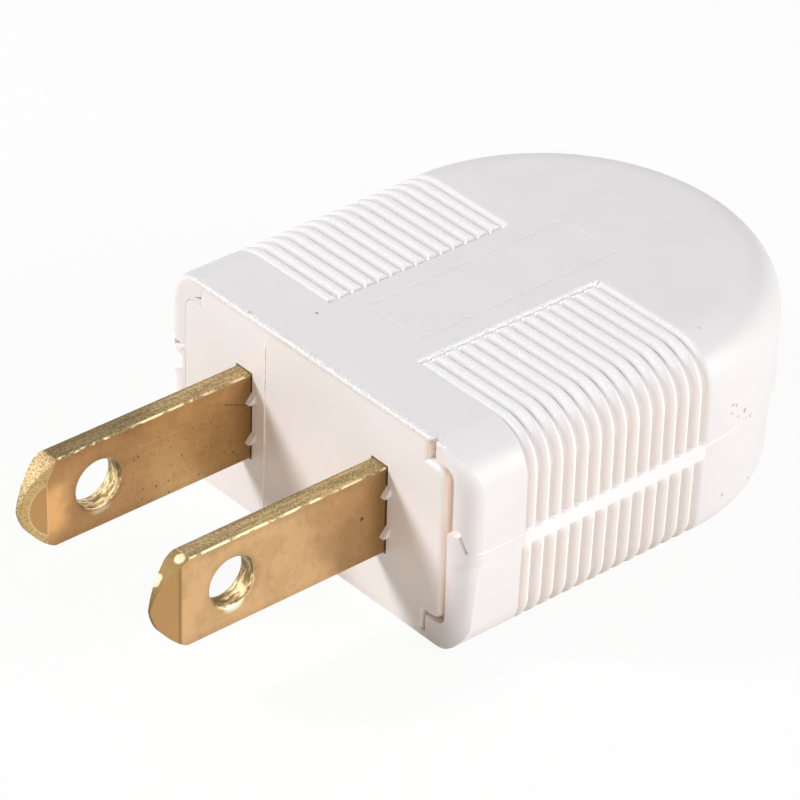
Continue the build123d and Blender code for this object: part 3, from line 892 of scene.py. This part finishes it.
    def _edge(self, coat: Coat, left: Socket, grit: Socket) -> None:
        """Colour the sheared edges and the hole's wall: coarse grain, duller round the nose.

        Args:
            coat: The coat so far.
            left: Mask of the left blade.
            grit: Grain of the sheared metal.
        """
        drawn = coat.times(coat.values(self.drawn), self.drawn_share)
        tone = coat.sums("ADD", coat.times(grit, self.grit_share), drawn)
        dark, light = (shade(self.edge_tint, factor) for factor in self.edge_shades)
        coat.colour = coat.blend(coat.step(tone, *self.edge_rise), dark, light)
        # The edges grow darker towards the tips, more on the left blade.
        lengthwise = coat.times(coat.step(coat.y, *self.tip_dark_run), coat.mix(left, *self.tip_dark_cover))
        coat.paint(lengthwise, self.tip_dark_tint)
        wall = coat.blend(coat.mask(self.broached), *self.wall_tints)
        coat.paint(coat.step(coat.size(coat.z), *self.wall_drop), wall)
        # The far edges of both blades are darker.
        inner = coat.sums("ADD", coat.x, coat.mix(left, -self.blade_x, self.blade_x))
        coat.paint(coat.step(inner, *self.far_drop), self.pit_and_far_edge_tint, self.far_cover)
        gold = coat.blend(coat.step(grit, *self.grit_rise), *self.left_nose)
        coat.paint(coat.step(coat.y, *self.nose_run), coat.blend(left, self.right_nose, gold))

    def _face(self, coat: Coat, left: Socket, grit: Socket) -> None:
        """Colour the broad faces: tarnished clouds, a painted highlight on the hole's lower lip, a scored
        line and painted shade at the roots.

        Args:
            coat: The coat so far.
            left: Mask of the left blade.
            grit: Grain of the metal.
        """
        # The left blade's faces are darker, lighter towards its root.
        lengthwise = coat.blend(coat.step(coat.y, *self.rear_run), self.left_tint, self.left_rear)
        coat.colour = coat.blend(left, self.tint, lengthwise)
        from_hole = self._away(coat, self.hole_y, 0.0)
        ring = coat.step(from_hole, *self.ring_reach)
        rims = coat.sums("MAXIMUM", ring, coat.step(coat.size(coat.z), *self.side_rise))
        shadow = coat.times(coat.mask(self.clouds), self.cloud_cover)
        for layer in (
            coat.times(coat.mask(self.mottle), self.mottle_cover),
            coat.times(coat.step(grit, *self.dot_rise), coat.mix(left, *self.dot_cover)),
            coat.times(rims, self.shadow_cover),
        ):
            shadow = coat.sums("ADD", shadow, layer)
        coat.paint(shadow, self.shadow_tint)
        # Painted highlight on the lower lip of the hole.
        lip = coat.times(
            coat.step(from_hole, *self.lip_reach),
            coat.step(coat.z, *self.lip_drop),
            coat.between(coat.y, *self.lip_run),
            coat.mix(left, *self.lip_cover),
        )
        coat.paint(lip, self.lip_highlight_tint)
        slant = coat.sums("ADD", coat.z, coat.times(coat.y, self.score_slope))
        scored = coat.between(slant, *self.score_heights)
        scored = coat.times(scored, coat.between(coat.y, *self.score_run), left)
        coat.paint(scored, self.burnish_tint, self.score_cover)
        # Painted shade at the roots, standing in for the shaded plate that they mirror.
        root = coat.step(coat.y, *self.root_run)
        coat.paint(coat.times(root, root), self.root_shade_tint, self.root_cover)

    def _nose(self, coat: Coat, left: Socket, grit: Socket) -> None:
        """Colour the coined noses: painted shade on them, a painted shadow along the right blade's ridge,
        painted highlights along the left blade's ridge and facet, and its burnished patch and narrow facet.

        Args:
            coat: The coat so far.
            left: Mask of the left blade.
            grit: Grain of the metal.
        """
        ragged = coat.swing(self.patch_edge, self.patch_swing)
        patch = coat.times(
            left,
            coat.step(coat.sums("ADD", coat.y, ragged), *self.patch_run),
            coat.between(coat.sums("ADD", coat.z, ragged), *self.patch_heights),
        )
        coat.paint(patch, self.burnish_tint, self.patch_cover)
        # Painted shade on the coined noses.
        coined = coat.step(coat.y, *self.coin_run)
        coat.paint(coined, self.coin_shade_tint, self.coin_cover)
        # Painted shadow along the right blade's coin ridge.
        ridge = coat.times(coat.between(coat.y, *self.ridge_run), coat.sums("SUBTRACT", 1.0, left))
        coat.paint(ridge, self.ridge_shadow_tint, self.ridge_cover)
        # Worn coin ridge of the left blade, with a painted highlight along it.
        keen = coat.times(left, coat.between(coat.y, *self.keen_run))
        keen = coat.times(keen, coat.between(coat.z, *self.keen_heights))
        coat.paint(keen, self.highlight_tint, self.keen_cover)
        away = coat.sums("SUBTRACT", self._away(coat, *self.facet_centre), self.facet_radius)
        slant = coat.times(coat.sums("SUBTRACT", coat.y, self.corner_y), self.corner_slope)
        upper = coat.times(
            coat.between(coat.y, *self.corner_run),
            coat.step(coat.sums("SUBTRACT", coat.z, slant), *self.corner_cut),
        )
        facet = coat.times(coined, coat.step(away, *self.facet_rise))
        gold = coat.blend(coat.step(grit, *self.grit_rise), *self.left_rim)
        coat.paint(coat.times(left, coat.sums("MAXIMUM", facet, upper)), gold)
        # Painted highlight round the left blade's facet.
        bead = coat.between(away, *self.bead_run)
        coat.paint(coat.times(left, coined, bead), self.highlight_tint, self.bead_cover)

    def _pits(self, coat: Coat, wide: Socket, left: Socket) -> Socket:
        """Gather the pits of the left blade, its scratch and the speck of the right blade.

        Args:
            coat: The coat so far.
            wide: Mask of the broad faces.
            left: Mask of the left blade.

        Returns:
            The mask's socket.
        """
        region = coat.times(coat.between(coat.y, *self.pit_run), coat.step(coat.z, *self.pit_drop))
        patch = coat.times(region, coat.mask(self.pit_patches))
        share = coat.sums("MAXIMUM", left, self.pit_share_right)
        pitted = coat.times(coat.flecks(self.pits), patch, wide, share)
        line = coat.sums("MULTIPLY_ADD", coat.y, self.scratch_slope, self.scratch_start)
        scratch = coat.times(
            coat.step(coat.size(coat.sums("SUBTRACT", coat.z, line)), *self.scratch_edge),
            coat.between(coat.y, *self.scratch_run),
            coat.step(coat.x, *self.scratch_sides),
            self.scratch_depth,
        )
        pitted = coat.sums("MAXIMUM", pitted, scratch)
        return coat.sums("MAXIMUM", pitted, coat.speck(self.dark_speck))


@dataclass(frozen=True)
class PlatedSteel(Finish):
    """Zinc plated steel with a faint yellow cast and a few stains."""

    cast: Triple = (0.60, 0.57, 0.50)
    clouds: Pattern = Pattern(0.9, 3.0, rise=(0.35, 0.7))
    cloud_rough: float = 0.25
    stains: Flecks = Flecks(2.0, 0.12)
    stain_tint: Triple = (0.2, 0.18, 0.16)
    stain_cover: float = 0.4
    grain: Pattern = Pattern(6.0)
    relief: float = 0.006

    def _paint(self, coat: Coat) -> None:
        """Paint the cast and the stains.

        Args:
            coat: The new coat.
        """
        clouds = coat.values(self.clouds)
        coat.paint(coat.step(clouds, *self.clouds.rise), self.cast)
        coat.paint(coat.flecks(self.stains), self.stain_tint, self.stain_cover)
        coat.height = coat.values(self.grain)
        coat.close(coat.sums("MULTIPLY_ADD", clouds, self.cloud_rough, self.roughness), self.relief)
        coat.feed(coat.shader, Metallic=1.0)


@dataclass(frozen=True)
class SlottedScrew:
    """A slotted pan-head screw with a cut thread, head down, sizes in millimetres and degrees."""

    head_radius: float
    head_height: float
    shank_radius: float
    length: float
    pitch: float
    slot_width: float = 0.7
    slot_depth: float = 0.6
    dome: float = 0.45
    rim: float = 0.05
    slot_edge: float = 0.04
    plain_neck: float = 0.5
    point: float = 0.3
    core: float = 0.5
    tooth: float = 0.45
    sides: int = 64
    turn_steps: int = 36
    smooth_angle: float = 35.0
    sharp_angle: float = 50.0

    def build(self, name: str) -> Object:
        """Model the screw with its seat at the origin.

        Args:
            name: Name of the object.

        Returns:
            The screw's object.
        """
        choose(self._head(), self._core(), self._thread())
        bpy.ops.object.join()
        screw = bpy.context.object
        screw.name = name
        bpy.ops.object.shade_smooth_by_angle(angle=math.radians(self.smooth_angle))
        return screw

    def _rod(self, radius: float, ends: Span, bevels: Span, segments: int) -> Object:
        """Make an upright rod with bevelled ends.

        Args:
            radius: Radius of the rod.
            ends: Heights of its lower and upper end.
            bevels: Widths of the lower and upper bevel, 0 for none.
            segments: Steps in each bevel.

        Returns:
            The rod's object.
        """
        low, high = ends
        middle = (0.0, 0.0, (low + high) / 2 * MM)
        choose()
        bpy.ops.mesh.primitive_cylinder_add(
            vertices=self.sides, radius=radius * MM, depth=(high - low) * MM, location=middle
        )
        rod = settled()
        for level, width in zip(ends, bevels):
            if width > 0.0:
                self._round_rim(rod, level, width, segments)
        return rod

    @staticmethod
    def _round_rim(rod: Object, level: float, width: float, segments: int) -> None:
        """Bevel the rim of a rod at one height.

        Args:
            rod: The rod's object.
            level: Height of the rim.
            width: Width of the bevel.
            segments: Steps in the bevel.
        """
        bpy.ops.object.mode_set(mode="EDIT")
        bpy.ops.mesh.select_mode(type="EDGE")
        bpy.ops.mesh.select_all(action="DESELECT")
        bpy.ops.object.mode_set(mode="OBJECT")
        points = rod.data.vertices
        for edge in rod.data.edges:
            edge.select = all(abs(points[i].co.z / MM - level) < 1e-4 for i in edge.vertices)
        bpy.ops.object.mode_set(mode="EDIT")
        bpy.ops.mesh.bevel(offset=width * MM, segments=segments, profile=0.5)
        bpy.ops.object.mode_set(mode="OBJECT")

    def _head(self) -> Object:
        """Model the domed head with its driving slot.

        Returns:
            The head's object.
        """
        bevels = (self.dome * self.head_height, self.rim)
        head = self._rod(self.head_radius, (-self.head_height, 0.0), bevels, 6)
        choose()
        bpy.ops.mesh.primitive_cube_add(size=1.0, location=(0.0, 0.0, -self.head_height * MM))
        sizes = (self.slot_width, 3.0 * self.head_radius, 2.0 * self.slot_depth)
        bpy.context.object.scale = tuple(size * MM for size in sizes)
        cutter = settled()
        choose(head)
        slot = head.modifiers.new("slot", "BOOLEAN")
        slot.operation = "DIFFERENCE"
        slot.object = cutter
        bpy.ops.object.modifier_apply(modifier=slot.name)
        edge = head.modifiers.new("edge", "BEVEL")
        edge.width = self.slot_edge * MM
        edge.segments = 2
        edge.limit_method = "ANGLE"
        edge.angle_limit = math.radians(self.sharp_angle)
        bpy.ops.object.modifier_apply(modifier=edge.name)
        discard(cutter)
        return head

    def _core(self) -> Object:
        """Model the shank inside the thread."""
        radius = self.shank_radius - self.core * self.pitch
        return self._rod(radius, (-0.1, self.length), (0.0, self.point * self.shank_radius), 2)

    def _thread(self) -> Object:
        """Wind one tooth round the shank.

        Returns:
            The thread's object.
        """
        tooth = self.tooth * self.pitch
        choose()
        bpy.ops.mesh.primitive_circle_add(
            vertices=3, radius=tooth * MM, fill_type="NOTHING", rotation=(math.pi / 2, math.pi / 2, 0.0),
            location=((self.shank_radius - tooth) * MM, 0.0, (self.plain_neck + tooth) * MM),
        )
        thread = settled()
        room = self.length - self.plain_neck - self.point * self.shank_radius - 2.0 * tooth
        winding = thread.modifiers.new("winding", "SCREW")
        winding.axis = "Z"
        winding.screw_offset = self.pitch * MM
        winding.iterations = max(1, math.floor(room / self.pitch))
        winding.steps = self.turn_steps
        bpy.ops.object.modifier_apply(modifier=winding.name)
        bpy.ops.object.mode_set(mode="EDIT")
        bpy.ops.mesh.select_all(action="SELECT")
        bpy.ops.mesh.remove_doubles(threshold=1e-7)
        bpy.ops.mesh.fill_holes(sides=0)
        bpy.ops.mesh.normals_make_consistent(inside=False)
        bpy.ops.object.mode_set(mode="OBJECT")
        return thread


@dataclass(frozen=True)
class Lamp:
    """A soft box: where it stands and how large it is, in metres, and how strong."""

    name: str
    place: Triple
    size: Span
    watts: float
    colour: Triple = WHITE

    def build(self, target: Vector) -> None:
        """Add the lamp, aimed at a point.

        Args:
            target: Point in metres.
        """
        data = bpy.data.lights.new(self.name, "AREA")
        data.shape = "RECTANGLE"
        data.size, data.size_y = self.size
        data.energy = self.watts
        data.color = self.colour
        lamp = bpy.data.objects.new(self.name, data)
        bpy.context.scene.collection.objects.link(lamp)
        lamp.location = self.place
        lamp.rotation_euler = (target - Vector(self.place)).to_track_quat("-Z", "Y").to_euler()


@dataclass
class Studio:
    """White table, soft boxes, world and camera; heights and the camera's place are in millimetres."""

    floor_z: float = -7.16
    floor_size: float = 6.0
    floor_rough: float = 0.9
    target: Triple = (0.0, 0.009, 0.0)
    camera_place: Triple = (176.742, -149.049, 158.412)
    camera_turn: Triple = (56.304253, -1.405314, 49.480949)
    camera_clip: Span = (0.01, 20.0)
    sensor: float = 36.0
    lens: float = 209.357
    ambient: float = 0.20
    table_tint: Triple = (0.82, 0.81, 0.80)
    bounce_tint: Triple = (0.82, 0.745, 0.665)
    glow: float = 0.93
    lamps: tuple[Lamp, ...] = (
        Lamp("key", (-0.285, -0.348, 0.316), (0.15, 0.15), 2.65),
        Lamp("right", (0.50, 0.36, 0.185), (0.4, 0.3), 2.8, (0.95, 0.985, 1.0)),
        Lamp("fill", (0.45, -0.12, 0.20), (0.3, 0.3), 0.7),
    )

    def build(self) -> None:
        """Set up the light, the floor and the camera."""
        scene = bpy.context.scene
        scene.view_settings.view_transform = "Standard"
        self._world(scene)
        self._floor()
        for lamp in self.lamps:
            lamp.build(Vector(self.target))
        self._camera(scene)

    def _world(self, scene: Scene) -> None:
        """Make an even grey surround that the camera sees as white.

        Args:
            scene: The scene.
        """
        world = bpy.data.worlds.new("surround")
        scene.world = world
        world.use_nodes = True
        sheet = Sheet(world.node_tree)
        strength = sheet.sums("MULTIPLY_ADD", sheet.seen(), 1.0 - self.ambient, self.ambient)
        sheet.feed(world.node_tree.nodes["Background"], WHITE, strength)

    def _floor(self) -> None:
        """Lay the table: white to the camera, warm in the light that it sends back."""
        choose()
        bpy.ops.mesh.primitive_plane_add(size=self.floor_size, location=(0.0, 0.0, self.floor_z * MM))
        floor = bpy.context.object
        floor.name = "table"
        material = bpy.data.materials.new("white table")
        material.use_nodes = True
        sheet = Sheet(material.node_tree)
        seen = sheet.seen()
        plain = material.node_tree.nodes["Principled BSDF"]
        colour = sheet.blend(seen, self.bounce_tint, self.table_tint)
        sheet.feed(plain, Base_Color=colour, Roughness=self.floor_rough, Specular_IOR_Level=0.0)
        glow = sheet.feed(sheet.add("ShaderNodeEmission"), WHITE, 1.0)[0]
        share = sheet.times(seen, self.glow)
        mixed = sheet.feed(sheet.add("ShaderNodeMixShader"), share, plain.outputs[0], glow)[0]
        sheet.feed(material.node_tree.nodes["Material Output"], Surface=mixed)
        floor.data.materials.append(material)

    def _camera(self, scene: Scene) -> None:
        """Place the camera at the photograph's viewing angle.

        Args:
            scene: The scene.
        """
        data = bpy.data.cameras.new("camera")
        data.sensor_width = self.sensor
        data.lens = self.lens
        data.clip_start, data.clip_end = self.camera_clip
        camera = bpy.data.objects.new("camera", data)
        scene.collection.objects.link(camera)
        camera.location = Vector(self.camera_place) * MM
        camera.rotation_euler = tuple(math.radians(angle) for angle in self.camera_turn)
        scene.camera = camera


@dataclass
class Workshop:
    """What every sub-assembly needs: the CAD nodes and the shared effects."""

    nodes: dict[str, Object]
    effects: Effects = field(default_factory=Effects)

    def dress(self, finish: Finish, *names: str) -> None:
        """Put one finish on several CAD nodes.

        Args:
            finish: The finish.
            names: Node names.
        """
        material = finish.build(self.effects)
        for name in names:
            self.nodes[name].data.materials.clear()
            self.nodes[name].data.materials.append(material)
            LOG.info("%s: %s", name, finish.name)

    def fasten(self, screw: SlottedScrew, steel: Finish, seats: dict[str, Triple]) -> None:
        """Model a screw once and set a copy of it at each seat.

        Args:
            screw: The screw's sizes.
            steel: Its finish.
            seats: Seats in millimetres, by the CAD node that each copy stands for.
        """
        master = screw.build("screw master")
        finish = steel.build(self.effects)
        for node, seat in seats.items():
            self._place(master, node, seat, finish, Slot.SCREW)
        discard(master)

    @staticmethod
    def _place(
        master: Object, node: str, seat: Triple, finish: Material, slot: Slot
    ) -> None:
        """Copy a finished fastener to its seat in place of a CAD node.

        Args:
            master: The fastener, with its seat at the origin.
            node: CAD node that the copy stands for.
            seat: Where its seat goes, in millimetres.
            finish: Its material.
            slot: Not used.
        """
        choose(master)
        bpy.ops.object.duplicate(linked=False)
        copy = bpy.context.object
        copy.name = copy.data.name = f"{node}_threaded"
        copy.location = Vector(seat) * MM
        settled()
        copy.data.materials.clear()
        copy.data.materials.append(finish)
        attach(copy, "root")
        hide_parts(node)
        LOG.info("%s: %d faces", copy.name, len(copy.data.polygons))


@dataclass
class Housing:
    """The two shells, the front plate between them and the screw that closes them."""

    workshop: Workshop
    steel: PlatedSteel
    specks: tuple[Speck, ...] = (
        Speck((-6.23, 0.32, 7.15), 0.1, 0.5),
        # This speck darkens the top of the slot beside the plate.
        Speck((10.75, 0.1, 6.85), 0.22, 0.35),
        Speck((-3.64, 3.41, 7.15), 0.11),
        Speck((1.51, 31.89, 6.73), 0.11),
        Speck((13.94, 22.07, 1.94), 0.12, 0.5),
        Speck((13.72, 23.04, 1.05), 0.16, 0.6),
        Speck((13.45, 23.8, 0.23), 0.13, 0.5),
        Speck((13.7, 21.62, -4.66), 0.12, 0.5),
        Speck((12.74, 24.83, -5.29), 0.12, 0.5),
        Speck((13.14, 0.01, -5.02), 0.12, 0.5),
    )
    screw: SlottedScrew = SlottedScrew(2.8, 2.1, 1.5, 9.4, 0.8)
    screw_seat: Triple = (0.0, 15.2, -4.35)

    def build(self) -> None:
        """Dress the mouldings and set the screw."""
        shell = ShellPlastic("white shell plastic", (0.80, 0.768, 0.774), 0.42, specks=self.specks)
        self.workshop.dress(shell, "upper_shell", "lower_shell")
        self.workshop.dress(PlatePlastic("white plate plastic", (0.815, 0.79, 0.79), 0.45), "front_plate")
        self.workshop.fasten(self.screw, self.steel, {"housing_screw": self.screw_seat})


@dataclass
class Contacts:
    """The blades with the screws and washers on their inner ends."""

    workshop: Workshop
    steel: PlatedSteel
    screw: SlottedScrew = SlottedScrew(2.2, 1.7, 1.5, 3.6, 0.6)
    screw_seat: Triple = (9.85, 7.8, 1.4)

    def build(self) -> None:
        """Dress the blades and washers and set the screws."""
        brass = RolledBrass("rolled brass", (0.74, 0.46, 0.22), 0.24)
        self.workshop.dress(brass, "left_blade", "right_blade")
        washers = PlatedSteel("zinc plated washers", (0.58, 0.58, 0.56), 0.3)
        self.workshop.dress(washers, "left_terminal_washer", "right_terminal_washer")
        self.workshop.fasten(self.screw, self.steel, both_sides("terminal_screw", self.screw_seat))


@dataclass
class CordGrip:
    """The clamp bar and its two screws."""

    workshop: Workshop
    steel: PlatedSteel
    screw: SlottedScrew = SlottedScrew(2.1, 1.4, 1.2, 7.0, 0.6)
    screw_seat: Triple = (6.7, 25.4, -3.6)

    def build(self) -> None:
        """Dress the bar and set the screws."""
        self.workshop.dress(MouldedPlastic("clamp plastic", (0.74, 0.72, 0.70), 0.5), "cord_clamp")
        self.workshop.fasten(self.screw, self.steel, both_sides("clamp_screw", self.screw_seat))


def main() -> None:
    """Build the plug's sub-assemblies and the studio."""
    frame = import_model()
    workshop = Workshop(frame["nodes"])
    steel = PlatedSteel("zinc plated screws", (0.62, 0.62, 0.61), 0.25)
    for assembly in (Housing(workshop, steel), Contacts(workshop, steel), CordGrip(workshop, steel)):
        assembly.build()
    Studio().build()


if __name__ == "__main__":
    logging.basicConfig(level=logging.INFO, format="%(name)s %(message)s")
    main()
